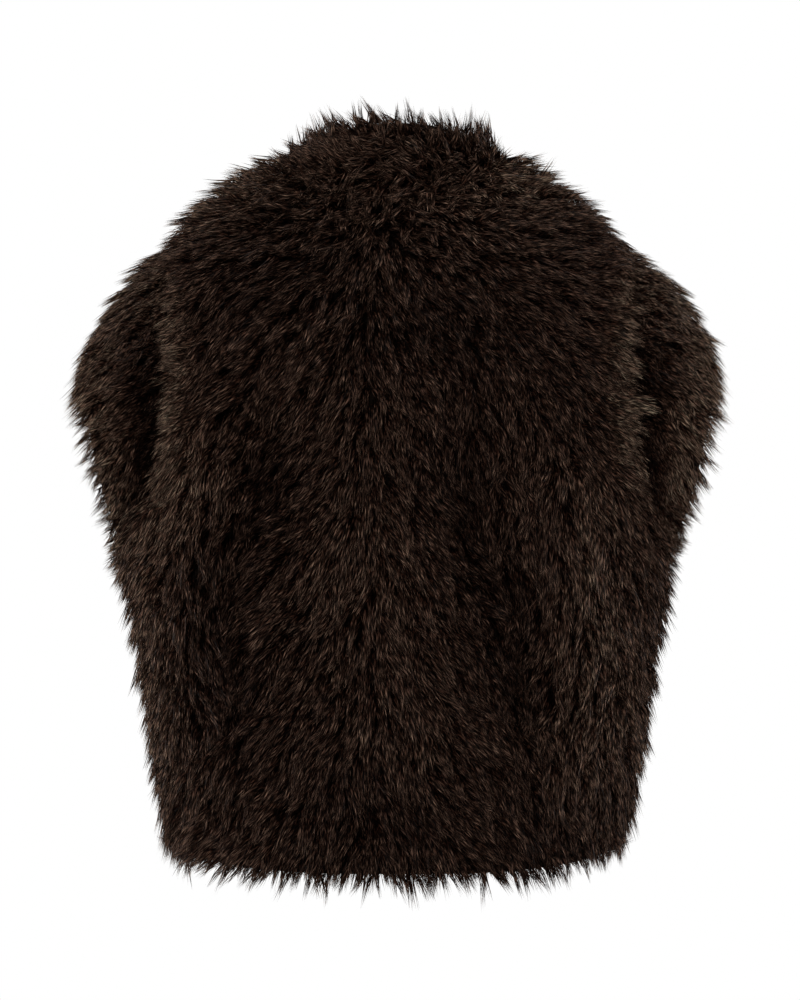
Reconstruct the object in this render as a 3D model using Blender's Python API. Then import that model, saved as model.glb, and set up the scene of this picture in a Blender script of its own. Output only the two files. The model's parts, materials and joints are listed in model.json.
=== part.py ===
"""Shaggy pile vest in its worn form, with nobody in it: back, two fronts, two cap sleeves, stand collar.

Metres, +Z up. The wearer faces -Y and +X is the wearer's left. The origin lies midway between the two
points where the shoulder seams meet the neck, which is where the wearer's shoulders carry the cloth.
Each piece is one wall: its inside is the knitted backing and its outside is the top of the pile.
"""

import math
from collections import namedtuple

import bpy
import numpy as np

# Driving sizes
PILE = 0.018  # loft of the pile over the backing
SEAM_GAP = 0.0003  # between the backings of two pieces that are sewn together
PILE_PARTING = 0.0022  # how far the pile's top leans back from a seam, on each side of it
SEAM_LEAN = 1.3  # lofts from a seam within which the pile leans the way that the seam does
FRONT_GAP = 0.008  # between the two front edges, which meet with no overlap
HEM_OVERHANG = 0.014  # pile past the cut edge at the hem
SLEEVE_OVERHANG = 0.012
COLLAR_OVERHANG = 0.012
FRONT_OVERHANG = 0.003
OVERHANG_AT_TOP = 0.55  # share of an overhang that the pile's top has, so that the edge is round

# Rings of the body from the hem to the neck, on a general figure
Ring = namedtuple("Ring", "z_back z_side z_front half_width back_depth front_depth squareness")
BODY_RINGS = (
    Ring(-0.597, -0.586, -0.588, 0.190, 0.127, 0.132, 2.7),  # hem
    Ring(-0.513, -0.503, -0.505, 0.199, 0.129, 0.136, 2.6),
    Ring(-0.423, -0.416, -0.417, 0.214, 0.131, 0.139, 2.7),
    Ring(-0.333, -0.327, -0.328, 0.225, 0.132, 0.140, 2.9),  # underarm
    Ring(-0.247, -0.236, -0.247, 0.216, 0.131, 0.135, 3.0),
    Ring(-0.166, -0.144, -0.184, 0.204, 0.122, 0.119, 3.0),
    Ring(-0.094, -0.056, -0.130, 0.187, 0.104, 0.097, 2.8),  # shoulder tip
    Ring(-0.050, -0.012, -0.101, 0.134, 0.086, 0.081, 2.4),
    Ring(-0.016, 0.011, -0.076, 0.086, 0.068, 0.067, 2.1),  # neck seam
)
COLLAR_TOP = Ring(0.041, 0.031, -0.022, 0.071, 0.063, 0.072, 2.1)
UNDERARM, SHOULDER_TIP, NECK = 3, 6, 8

# The armhole's edge runs this far round the body from the side line, at most
ARMHOLE_BACK = 0.080
ARMHOLE_FRONT = 0.085
ARMHOLE_LEAN = 0.85  # under 1 puts the widest place nearer to the underarm
ARMHOLE_ROUND = 0.62

# Cap sleeve: its cut edge is an oval from above the arm to the underarm
SLEEVE_TOP_X, SLEEVE_TOP_Z = 0.273, -0.177
SLEEVE_LOW_X, SLEEVE_LOW_Z = 0.247, -0.314
SLEEVE_HALF_DEPTH = 0.084
SLEEVE_BULGE = 0.017  # how far the cap stands over a straight line from its seam to its edge
CRUSHED_PILE = 0.45  # share of the loft that is left where the arm presses, under the arm
CRUSHED_REACH = 0.050

# Largest folds: soft troughs (height below 0) and ridges, each along a line seen from behind or before
Fold = namedtuple("Fold", "x_top z_top x_low z_low half_width height")
BACK_FOLDS = (
    Fold(0.106, -0.200, 0.142, -0.470, 0.030, -0.010),
    Fold(-0.062, -0.290, -0.118, -0.470, 0.030, -0.011),
    Fold(0.186, -0.360, 0.176, -0.520, 0.020, 0.005),
    Fold(-0.136, -0.270, -0.176, -0.500, 0.026, 0.006),
    Fold(-0.142, -0.560, -0.128, -0.600, 0.024, -0.006),
)
FRONT_FOLDS = (
    Fold(0.112, -0.270, 0.098, -0.490, 0.030, -0.009),
    Fold(-0.104, -0.250, -0.118, -0.450, 0.030, -0.010),
    Fold(0.168, -0.360, 0.160, -0.540, 0.024, 0.005),
    Fold(-0.170, -0.350, -0.158, -0.520, 0.024, 0.006),
)

# Uneven tufts in the pile's top, as waves of the loft
Wave = namedtuple("Wave", "across along height phase")
PILE_WAVES = (
    Wave(0.071, 0.190, 0.0016, 0.4),
    Wave(-0.053, 0.118, 0.0014, 1.9),
    Wave(0.128, -0.083, 0.0013, 3.1),
    Wave(0.036, 0.067, 0.0009, 5.2),
)
PARTING_DEPTH = 0.004  # the pile parts down the middle of the back
PARTING_HALF_WIDTH = 0.012
PARTING_TOP = -0.150

# Points along and across the pieces
LOWER_ROWS, ARMHOLE_ROWS, YOKE_ROWS = 11, 13, 5
BACK_COLUMNS, FRONT_COLUMNS = 26, 13
SLEEVE_ROWS, COLLAR_ROWS = 6, 5
ARC_STEPS = 400
SLOPE_STEP_ROUND, SLOPE_STEP_UP = 0.03, 0.06  # steps for reading the body's slope

PILE_COLOUR = (0.030, 0.020, 0.014, 1.0)
PILE_ROUGHNESS = 0.75

SEAM = "seam"
EDGE_LINES = {  # an edge of a grid of points, and the line of points next to it
    "bottom": ((0, slice(None)), (1, slice(None))),
    "top": ((-1, slice(None)), (-2, slice(None))),
    "first": ((slice(None), 0), (slice(None), 1)),
    "last": ((slice(None), -1), (slice(None), -2)),
}


def unit(vectors):
    return vectors / np.maximum(np.linalg.norm(vectors, axis=-1, keepdims=True), 1e-12)


def ring_at(t):
    """The body's ring at t, which counts rings from the hem, on a smooth curve through the table."""
    rows = np.array(BODY_RINGS)
    k = min(int(t), NECK - 1)
    u = t - k
    before, here, there, after = (rows[min(max(k + step, 0), NECK)] for step in (-1, 0, 1, 2))
    bend = 2 * before - 5 * here + 4 * there - after
    turn = 3 * (here - there) + after - before
    return Ring(*(here + 0.5 * u * (there - before + u * (bend + u * turn))))


def quarter_line(ring, depth):
    """A quarter of a ring as (x, y, length so far), from the centre line to the side."""
    angle = np.linspace(0, math.pi / 2, ARC_STEPS)
    power = 2 / ring.squareness
    x = ring.half_width * np.sin(angle) ** power
    y = depth * np.maximum(np.cos(angle), 0) ** power
    return x, y, np.concatenate([[0], np.cumsum(np.hypot(np.diff(x), np.diff(y)))])


def quarter_length(t, front):
    ring = ring_at(t)
    return quarter_line(ring, ring.front_depth if front else ring.back_depth)[2][-1]


def fold_height(folds, x, z):
    """How far the folds push the cloth out at a place seen from behind or before."""
    height = 0.0
    for fold in folds:
        start = np.array((fold.x_top, fold.z_top))
        run = np.array((fold.x_low, fold.z_low)) - start
        along = np.dot(np.array((x, z)) - start, run) / np.dot(run, run)
        nearest = start + run * min(max(along, 0.0), 1.0)
        off = math.dist((x, z), nearest) / fold.half_width
        height += fold.height * math.exp(-off * off)
    return height


def ring_point(ring, side, round_share):
    """A point of a ring: round_share is 0 at the centre back, 1 at the side and 2 at the centre front."""
    front = round_share > 1
    share = 2 - round_share if front else round_share
    depth = ring.front_depth if front else ring.back_depth
    end_z = ring.z_front if front else ring.z_back
    x, y, length = quarter_line(ring, depth)
    x, y = (np.interp(share * length[-1], length, line) for line in (x, y))
    z = ring.z_side + (end_z - ring.z_side) * (y / depth) ** 2
    power = ring.squareness - 1
    out = unit(np.array(((x / ring.half_width) ** power / ring.half_width, (y / depth) ** power / depth)))
    push = fold_height(FRONT_FOLDS if front else BACK_FOLDS, side * x, z)
    x, y = x + push * out[0], y + push * out[1]
    return np.array((side * x, -y if front else y, z))


def body_point(side, round_share, t):
    """A point of the body's cloth. Past a centre line it goes on to the other side."""
    if round_share < 0:
        side, round_share = -side, -round_share
    if round_share > 2:
        side, round_share = -side, 4 - round_share
    return ring_point(ring_at(min(max(t, 0), NECK)), side, round_share)


def body_normal(side, round_share, t):
    """Outward from the body's cloth."""
    round_way = body_point(side, round_share + SLOPE_STEP_ROUND, t)
    round_way = round_way - body_point(side, round_share - SLOPE_STEP_ROUND, t)
    up = body_point(side, round_share, t + SLOPE_STEP_UP) - body_point(side, round_share, t - SLOPE_STEP_UP)
    return unit(side * np.cross(up, round_way))


def armhole_reach(t):
    """How much of its full depth the armhole has at t: 0 at the underarm and at the shoulder tip."""
    rise = (t - UNDERARM) / (SHOULDER_TIP - UNDERARM)
    if not 0 < rise < 1:
        return 0.0
    return math.sin(math.pi * rise**ARMHOLE_LEAN) ** ARMHOLE_ROUND


def panel_edge(t, front):
    """Where a panel ends beside the side seam, the armhole or the shoulder seam."""
    reach = armhole_reach(t) * (ARMHOLE_FRONT if front else -ARMHOLE_BACK)
    return 1 + reach / quarter_length(t, front)


def body_rows():
    """The values of t for the rows of every body panel. They gather a little at the armhole's ends."""
    lower = np.linspace(0, UNDERARM, LOWER_ROWS + 1)
    step = np.arange(1, ARMHOLE_ROWS + 1) / ARMHOLE_ROWS
    eased = (step + (1 - np.cos(math.pi * step)) / 2) / 2
    armhole = UNDERARM + (SHOULDER_TIP - UNDERARM) * eased
    yoke = np.linspace(SHOULDER_TIP, NECK, YOKE_ROWS + 1)[1:]
    return np.concatenate([lower, armhole, yoke])


ROWS = body_rows()
UNDERARM_ROW, TIP_ROW = LOWER_ROWS, LOWER_ROWS + ARMHOLE_ROWS


Panel = namedtuple("Panel", "points normals")


def body_panel(places):
    """Points and outward normals of a body panel: places(t) gives each row's (side, round_share) pairs."""
    points, normals = [], []
    for t in ROWS:
        row = places(t)
        points.append([body_point(side, share, t) for side, share in row])
        normals.append([body_normal(side, share, t) for side, share in row])
    return Panel(np.array(points), np.array(normals))


def back_places(t):
    """Across the back, from the wearer's left to the right."""
    edge = panel_edge(t, front=False)
    shares = np.linspace(edge, -edge, BACK_COLUMNS + 1)
    return [(1 if share >= 0 else -1, abs(share)) for share in shares]


def front_places(side):
    """Across one front, in the way that goes left round the body."""

    def places(t):
        ring = ring_at(t)
        x, _, length = quarter_line(ring, ring.front_depth)
        front_edge = 2 - np.interp(FRONT_GAP / 2, x, length) / length[-1]
        shares = np.linspace(front_edge, panel_edge(t, front=True), FRONT_COLUMNS + 1)
        return [(side, share) for share in (shares if side > 0 else shares[::-1])]

    return places


def way_along(line, closed):
    """The direction of a line of points at each of them."""
    if closed:
        return np.roll(line, -1, axis=-2) - np.roll(line, 1, axis=-2)
    return np.gradient(line, axis=-2)


def grid_normals(points, closed):
    """Outward normals of a grid whose columns run round it and whose rows run along it."""
    return unit(np.cross(way_along(points, closed), np.gradient(points, axis=0)))


def armhole_ring(side, back, front):
    """The armhole's seam from the shoulder tip, down the front and up the back."""
    back_edge = 0 if side > 0 else -1
    front_edge = -1 if side > 0 else 0
    down = front[TIP_ROW:UNDERARM_ROW:-1, front_edge]
    up = back[UNDERARM_ROW:TIP_ROW, back_edge]
    return np.concatenate([down, up])


def sleeve_grid(side, seam):
    """Points of a cap sleeve, from its seam out to its cut edge."""
    half = ARMHOLE_ROWS
    steps = np.linalg.norm(np.diff(np.vstack([seam, seam[:1]]), axis=0), axis=1)
    so_far = np.concatenate([[0], np.cumsum(steps)])
    angle = np.interp(so_far[:-1], (0, so_far[half], so_far[-1]), (0, math.pi, 2 * math.pi))
    top = np.array((side * SLEEVE_TOP_X, 0, SLEEVE_TOP_Z))
    low = np.array((side * SLEEVE_LOW_X, 0, SLEEVE_LOW_Z))
    depth = np.array((0, -SLEEVE_HALF_DEPTH, 0))
    edge = (top + low) / 2 + np.outer(np.cos(angle), (top - low) / 2) + np.outer(np.sin(angle), depth)
    out = edge - (top + low) / 2 + np.array((side * SLEEVE_HALF_DEPTH, 0, 0))
    bulge = SLEEVE_BULGE * (1 + np.cos(angle)) / 2
    rows = []
    for share in np.linspace(0, 1, SLEEVE_ROWS + 1):
        lift = bulge * math.sin(math.pi * share)
        rows.append(seam + (edge - seam) * share + unit(out) * lift[:, None])
    return np.array(rows)


def collar_grid(neck, places):
    """Points of the stand collar, from the neck seam to its top edge."""
    top = np.array([ring_point(COLLAR_TOP, side, share) for side, share in places])
    return np.array([neck + (top - neck) * share for share in np.linspace(0, 1, COLLAR_ROWS + 1)])


def pile_loft(across, along):
    """The pile's uneven loft, from distances across and along a piece."""
    loft = np.full(np.broadcast(across, along).shape, PILE)
    for wave in PILE_WAVES:
        turn = 2 * math.pi * (across / wave.across + along / wave.along)
        loft += wave.height * np.sin(turn + wave.phase)
    return loft


def crushed(loft, points):
    """The loft with the pile pressed down under the arms."""
    under = np.array((SLEEVE_LOW_X, 0, SLEEVE_LOW_Z))
    off = np.linalg.norm(np.abs(points) * (1, 1, -1) - under, axis=-1) / CRUSHED_REACH
    return loft * (1 - (1 - CRUSHED_PILE) * np.exp(-off * off))


def body_loft(points):
    """The loft over a body panel."""
    across = np.arctan2(points[..., 0], points[..., 1]) * np.hypot(points[..., 0], points[..., 1])
    return crushed(pile_loft(across, points[..., 2]), points)


def parted(loft, points):
    """The back's loft with the pile parted down the middle."""
    off = points[..., 0] / PARTING_HALF_WIDTH
    below = np.clip((PARTING_TOP - points[..., 2]) / abs(PARTING_TOP), 0, 1)
    return loft - PARTING_DEPTH * below * np.exp(-off * off)


def leaned(points, normals, loft, edge, leans):
    """The pile's directions, turned near one edge towards that edge's own."""
    at, _ = EDGE_LINES[edge]
    off = np.linalg.norm(points[:, :, None] - points[at], axis=-1)
    share = np.clip(1 - off.min(axis=-1) / (SEAM_LEAN * loft), 0, 1)[..., None]
    return unit(normals + (leans[off.argmin(axis=-1)] - normals) * share)


def pile_wall(points, normals, loft, edges, closed=False):
    """The inner, middle and outer points of a piece. An edge is a seam, or the pile hangs over it."""
    rise = normals * loft[..., None]
    inner, middle, outer = points.copy(), points + rise / 2, points + rise
    for name, kind in edges.items():
        at, inside = EDGE_LINES[name]
        out = unit(np.cross(way_along(points[at], closed), normals[at]))
        out = out * np.sign(np.sum(out * (points[at] - points[inside])))
        if kind is SEAM:
            inner[at] -= out * SEAM_GAP / 2
            middle[at] -= out * (SEAM_GAP + PILE_PARTING) / 2
            outer[at] -= out * (SEAM_GAP / 2 + PILE_PARTING)
        else:
            middle[at] += out * np.reshape(kind, (-1, 1))
            outer[at] += out * np.reshape(kind, (-1, 1)) * OVERHANG_AT_TOP
    return inner, middle, outer


def rim_loops(rows, columns, closed):
    """The index loops round a grid's edge, in the way that keeps its outside on the left."""
    index = np.arange(rows * columns).reshape(rows, columns)
    if closed:
        return [list(index[0]), list(index[-1][::-1])]
    sides = (index[0], index[1:, -1], index[-1, -2::-1], index[-2:0:-1, 0])
    return [[i for part in sides for i in part]]


def make_piece(name, wall, closed=False, flip=False):
    """One closed solid from the three layers of a wall."""
    inner, middle, outer = wall
    rows, columns = inner.shape[:2]
    count = rows * columns
    faces = []
    for r in range(rows - 1):
        for c in range(columns if closed else columns - 1):
            d = (c + 1) % columns
            square = (r * columns + c, r * columns + d, (r + 1) * columns + d, (r + 1) * columns + c)
            faces.append([count + i for i in square])
            faces.append(square[::-1])
    points = [*inner.reshape(-1, 3), *outer.reshape(-1, 3)]
    for loop in rim_loops(rows, columns, closed):
        first = len(points)
        points += [middle.reshape(-1, 3)[i] for i in loop]
        for k, a in enumerate(loop):
            b = loop[(k + 1) % len(loop)]
            mid_a, mid_b = first + k, first + (k + 1) % len(loop)
            faces.append((count + b, count + a, mid_a, mid_b))
            faces.append((mid_b, mid_a, a, b))
    if flip:
        faces = [face[::-1] for face in faces]
    mesh = bpy.data.meshes.new(name)
    mesh.from_pydata([tuple(point) for point in points], [], [tuple(face) for face in faces])
    mesh.shade_smooth()
    mesh.materials.append(pile_material(name))
    piece = bpy.data.objects.new(name, mesh)
    bpy.context.scene.collection.objects.link(piece)
    return piece


def pile_material(name):
    """The dark brown pile of one piece."""
    material = bpy.data.materials.new(f"{name}_pile")
    material.use_nodes = True
    shader = material.node_tree.nodes["Principled BSDF"]
    shader.inputs["Base Color"].default_value = PILE_COLOUR
    shader.inputs["Roughness"].default_value = PILE_ROUGHNESS
    shader.inputs["Metallic"].default_value = 0.0
    return material


def shared_lean(own, other):
    """The way that two pieces' walls lean where they are sewn together: halfway between the two."""
    return unit(own + other)


def round_neck(left, middle, right):
    """One line round the neck from the top rows of the left front, the back and the right front."""
    return np.concatenate([left[-1], middle[-1, 1:], right[-1, 1:]])


def make_collar(back, left, right):
    """The stand collar on the neck seam. Returns the lean of that seam."""
    neck = round_neck(left.points, back.points, right.points)
    places = front_places(1)(NECK) + back_places(NECK)[1:] + front_places(-1)(NECK)[1:]
    points = collar_grid(neck, places)
    normals = grid_normals(points, closed=False)
    leans = shared_lean(normals[0], round_neck(left.normals, back.normals, right.normals))
    loft = pile_loft(points[..., 0], points[..., 2])
    normals = leaned(points, normals, loft, "bottom", leans)
    edges = {"bottom": SEAM, "top": COLLAR_OVERHANG, "first": FRONT_OVERHANG, "last": FRONT_OVERHANG}
    make_piece("collar", pile_wall(points, normals, loft, edges))
    return leans


def make_sleeve(name, side, back, front):
    """A cap sleeve in its armhole. Returns the lean of that seam."""
    points = sleeve_grid(side, armhole_ring(side, back.points, front.points))
    normals = side * grid_normals(points, closed=True)
    leans = shared_lean(normals[0], armhole_ring(side, back.normals, front.normals))
    loft = crushed(pile_loft(points[..., 1], points[..., 2]), points)
    normals = leaned(points, normals, loft, "bottom", leans)
    edges = {"bottom": SEAM, "top": SLEEVE_OVERHANG * loft[-1] / PILE}
    wall = pile_wall(points, normals, loft, edges, closed=True)
    make_piece(name, wall, closed=True, flip=side < 0)
    return leans


def leaned_at_armhole(points, ways, loft, edge, leans, front):
    """A body panel's pile directions, turned at its armhole edge to the sleeve seam's lean."""
    at, _ = EDGE_LINES[edge]
    edge_leans = ways[at].copy()
    if front:
        edge_leans[TIP_ROW:UNDERARM_ROW:-1] = leans[:ARMHOLE_ROWS]
        edge_leans[UNDERARM_ROW] = leans[ARMHOLE_ROWS]
    else:
        edge_leans[UNDERARM_ROW:TIP_ROW] = leans[ARMHOLE_ROWS:]
        edge_leans[TIP_ROW] = leans[0]
    return leaned(points, ways, loft, edge, edge_leans)


def main():
    for old in list(bpy.data.objects):
        bpy.data.objects.remove(old, do_unlink=True)

    back = body_panel(back_places)
    left = body_panel(front_places(1))
    right = body_panel(front_places(-1))
    body_edges = {"first": SEAM, "last": SEAM, "top": SEAM, "bottom": HEM_OVERHANG}

    neck_leans = make_collar(back, left, right)
    left_leans = neck_leans[: FRONT_COLUMNS + 1]
    back_leans = neck_leans[FRONT_COLUMNS : FRONT_COLUMNS + BACK_COLUMNS + 1]
    right_leans = neck_leans[FRONT_COLUMNS + BACK_COLUMNS :]

    back_loft = parted(body_loft(back.points), back.points)
    back_ways = leaned(back.points, back.normals, back_loft, "top", back_leans)
    for side, word, front, top_leans in ((1, "left", left, left_leans), (-1, "right", right, right_leans)):
        leans = make_sleeve(f"sleeve_{word}", side, back, front)
        armhole_edge, open_edge = ("last", "first") if side > 0 else ("first", "last")
        loft = body_loft(front.points)
        ways = leaned(front.points, front.normals, loft, "top", top_leans)
        ways = leaned_at_armhole(front.points, ways, loft, armhole_edge, leans, front=True)
        edges = {**body_edges, open_edge: FRONT_OVERHANG}
        make_piece(f"front_{word}", pile_wall(front.points, ways, loft, edges))
        back_ways = leaned_at_armhole(back.points, back_ways, back_loft, open_edge, leans, front=False)
    make_piece("back", pile_wall(back.points, back_ways, back_loft, body_edges))


main()
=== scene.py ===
"""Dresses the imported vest: a knitted backing for each panel, and the shaggy pile that grows out of it.

Metres, in the frame of the solids: +Z up, the wearer faces -Y and +X is the wearer's left.
A backing lies on the inside of its solid's wall, and the pile fills the wall up to its outside.
"""

import json
import math
from collections import namedtuple

import bpy
import numpy as np
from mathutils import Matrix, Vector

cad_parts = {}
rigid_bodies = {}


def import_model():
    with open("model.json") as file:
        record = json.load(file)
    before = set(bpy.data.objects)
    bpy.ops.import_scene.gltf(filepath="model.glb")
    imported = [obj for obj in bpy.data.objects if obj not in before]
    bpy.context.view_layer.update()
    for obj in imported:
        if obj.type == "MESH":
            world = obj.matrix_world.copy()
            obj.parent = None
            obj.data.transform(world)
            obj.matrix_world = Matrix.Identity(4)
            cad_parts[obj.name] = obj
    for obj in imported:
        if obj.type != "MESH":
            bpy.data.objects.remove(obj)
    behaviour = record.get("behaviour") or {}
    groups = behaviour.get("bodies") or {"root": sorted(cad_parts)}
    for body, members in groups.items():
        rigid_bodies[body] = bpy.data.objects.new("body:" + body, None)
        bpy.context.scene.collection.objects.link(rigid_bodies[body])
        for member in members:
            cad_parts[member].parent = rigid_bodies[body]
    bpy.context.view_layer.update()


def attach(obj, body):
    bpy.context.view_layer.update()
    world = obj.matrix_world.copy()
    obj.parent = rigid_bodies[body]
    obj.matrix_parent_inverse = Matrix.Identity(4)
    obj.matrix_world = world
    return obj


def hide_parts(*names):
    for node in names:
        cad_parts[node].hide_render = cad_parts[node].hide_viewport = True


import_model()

# Rings of the body from the hem to the neck, as the solids have them
Ring = namedtuple("Ring", "z_back z_side z_front half_width back_depth front_depth squareness")
BODY_RINGS = (
    Ring(-0.597, -0.586, -0.588, 0.190, 0.127, 0.132, 2.7),  # hem
    Ring(-0.513, -0.503, -0.505, 0.199, 0.129, 0.136, 2.6),
    Ring(-0.423, -0.416, -0.417, 0.214, 0.131, 0.139, 2.7),
    Ring(-0.333, -0.327, -0.328, 0.225, 0.132, 0.140, 2.9),  # underarm
    Ring(-0.247, -0.236, -0.247, 0.216, 0.131, 0.135, 3.0),
    Ring(-0.166, -0.144, -0.184, 0.204, 0.122, 0.119, 3.0),
    Ring(-0.094, -0.056, -0.130, 0.187, 0.104, 0.097, 2.8),  # shoulder tip
    Ring(-0.050, -0.012, -0.101, 0.134, 0.086, 0.081, 2.4),
    Ring(-0.016, 0.011, -0.076, 0.086, 0.068, 0.067, 2.1),  # neck seam
)
COLLAR_TOP = Ring(0.041, 0.031, -0.022, 0.071, 0.063, 0.072, 2.1)
UNDERARM, SHOULDER_TIP, NECK = 3, 6, 8  # places in BODY_RINGS
FRONT_GAP = 0.002  # between the backings of the two fronts
ARMHOLE_BACK = 0.080  # how far round the body from the side line the armhole's edge runs, at most
ARMHOLE_FRONT = 0.085
ARMHOLE_LEAN = 0.85  # below 1, the armhole is deepest under its middle
ARMHOLE_ROUND = 0.62  # below 1, its curve is fuller than a sine
SLEEVE_TOP_X, SLEEVE_TOP_Z = 0.273, -0.177  # ends of a sleeve's edge line
SLEEVE_LOW_X, SLEEVE_LOW_Z = 0.247, -0.314
SLEEVE_HALF_DEPTH = 0.084  # of that line, from front to back
SLEEVE_BULGE = 0.017  # of a sleeve's head over the straight way from its seam to that line

# How far the backings go on past those lines, inside the pile
HEM_ALLOWANCE = 0.016
HEM_ROUND = 0.003  # how much less at the hem's corners
HEM_ROUND_POWER = 6  # the higher, the nearer to the corners it begins
SLEEVE_ALLOWANCE = 0.004
SLEEVE_ALLOWANCE_FADE = 0.060  # how far over the underarm it is whole
SHORTEST_SLEEVE = 0.008  # where a sleeve is shorter, it grows by no larger share
COLLAR_ALLOWANCE = 0.008
HEM_T = -HEM_ALLOWANCE / (BODY_RINGS[1].z_back - BODY_RINGS[0].z_back)  # in rings from the hem

# Soft troughs (height below 0) and ridges of the cloth, each along a line seen from behind or before
Fold = namedtuple("Fold", "x_top z_top x_low z_low half_width height")
BACK_FOLDS = (
    Fold(0.106, -0.200, 0.142, -0.470, 0.030, -0.010),
    Fold(-0.062, -0.290, -0.118, -0.470, 0.030, -0.011),
    Fold(0.186, -0.360, 0.176, -0.520, 0.020, 0.005),
    Fold(-0.136, -0.270, -0.176, -0.500, 0.026, 0.006),
    Fold(-0.142, -0.560, -0.128, -0.600, 0.024, -0.006),
)
FRONT_FOLDS = (
    Fold(0.112, -0.270, 0.098, -0.490, 0.030, -0.009),
    Fold(-0.104, -0.250, -0.118, -0.450, 0.030, -0.010),
    Fold(0.168, -0.360, 0.160, -0.540, 0.024, 0.005),
    Fold(-0.170, -0.350, -0.158, -0.520, 0.024, 0.006),
)

# Points along and across the panels
LOWER_ROWS, ARMHOLE_ROWS, YOKE_ROWS = 22, 26, 8
BACK_COLUMNS, FRONT_COLUMNS = 44, 22
SLEEVE_ROWS, COLLAR_ROWS = 10, 10
ARC_STEPS = 400  # along a quarter of a ring
UNDERARM_ROW, TIP_ROW = LOWER_ROWS, LOWER_ROWS + ARMHOLE_ROWS

# Knitted backing
BACKING = 0.002
WALE = 0.0021  # width of one rib of the knit
COURSE = 0.0016  # height of one row of loops
LOOP_SHIFT = 1.4  # radians that the loops shift from the middle of a rib to its top
KNIT_MIDDLE, RIB_HEIGHT, LOOP_HEIGHT = 0.55, 0.28, 0.17  # shares of the knit's relief
KNIT_BUMP, KNIT_DEPTH = 0.6, 0.0006
# the knit is dark, and partly so as painted shadow between the hairs
KNIT_COLOURS = ((0.15, (0.0026, 0.0016, 0.0012)), (0.95, (0.013, 0.0082, 0.0060)))
RELIEF_SHADE, WEAR_SHADE = 0.75, 0.5  # how much the relief tells in the colour, as painted shade in its hollows, and how much the wear
WEAR_SCALE, WEAR_DETAIL = 42.0, 4.0
KNIT_ROUGH, KNIT_SMOOTHER = 0.92, 0.12  # roughness at the foot of the relief, and how much less at its top
KNIT_SHINE = 0.06

# A lock of hairs as it stands on the cloth, its tip REACH along the nap and RISE over the backing
REACH = 0.029
RISE = 0.0168
LIFT = math.degrees(math.atan2(RISE, REACH))
HAIRS = 18
LOCK_SHAPES = 8
LOCK_SEED = 11
ROOT_SPREAD = 0.0060  # radius of the patch of backing that a lock grows from
TIP_SPREAD = 0.0011
ROOT_IN_TIP = 0.26  # how much of a hair's place in the lock is left at its tip
HAIR_LENGTHS = (0.62, 1.12)  # shares of the lock's length
HAIR_WIDTH = 0.00078
HAIR_WIDTHS = (0.75, 1.2)  # shares of that width
HAIR_ROLL = 1.2  # radians that a hair is turned about its length, at most
BEND = 0.5  # share of a hair's length at which it bends over
BEND_REACH, BEND_RISE = 1.5, 1.7  # powers of that share: a hair rises first and then lies over

# Locks in the pile
LOCK_LENGTHS = (0.64, 0.82)  # shares of the pile's length
TUFT_LENGTHS = 0.44  # added to them from tuft to tuft, at most
TUFT_STAND, TUFT_STAND_MORE = 0.75, 0.5  # share of the rise in the darkest tufts, and what the lightest add
HAIR_WANDER = 1.6  # power of the place along a hair by which it strays
FELT_DARK, FELT_LIGHT = 1.8, 0.4  # frizz of the darkest places and of the lightest, which are combed
LENGTH_DARK, LENGTH_LIGHT = 0.90, 1.14  # and the length of the back's pile there
FRONT_WIDTH = 1.3  # the locks of the fronts are this much wider

# Tones of the hair, as shares of their whole range
HAIR_TONES = 0.46  # from hair to hair in one lock
LOCK_TONES = 0.05  # from lock to lock in one tuft
TUFT_TONES = 0.06  # from tuft to tuft in one place
PLACE_TONES = 0.41  # from place to place of the cloth, which is painted light and painted shade of the pile
TONE_HALF_WIDTH = 0.0011  # of each hair on its map
HAIR_COLOURS = (  # from the root to the tip, which is greyer as a painted sheen
    (0.0, (0.0042, 0.0017, 0.0011)),
    (0.45, (0.0180, 0.0082, 0.0051)),
    (1.0, (0.075, 0.0487, 0.0340)),
)
TONE_DARK, TONE_MORE, TONE_POWER = 0.08, 3.72, 2.4  # light of the darkest hairs, and what the lightest add
RED_DARK, RED_LIGHT, RED_POWER = 1.25, 0.74, 2.0  # how red the darkest hairs and the lightest are; the lightest are greyer, a painted sheen
GLINTS_PER_HAIR = 3.0  # painted glints along a hair, where a crimped hair would catch the light
GLINT_SHIFT = 230.0  # radians that they shift over the range of tones
GLINT_DARK, GLINT_MORE, GLINT_POWER = 0.18, 2.7, 3.0  # light between the painted glints, and what a glint adds
HAIR_ROUGH, HAIR_SMOOTHER = 0.50, 0.14  # roughness at the root, and how much less at the tip
HAIR_SHINE = 0.025

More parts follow.
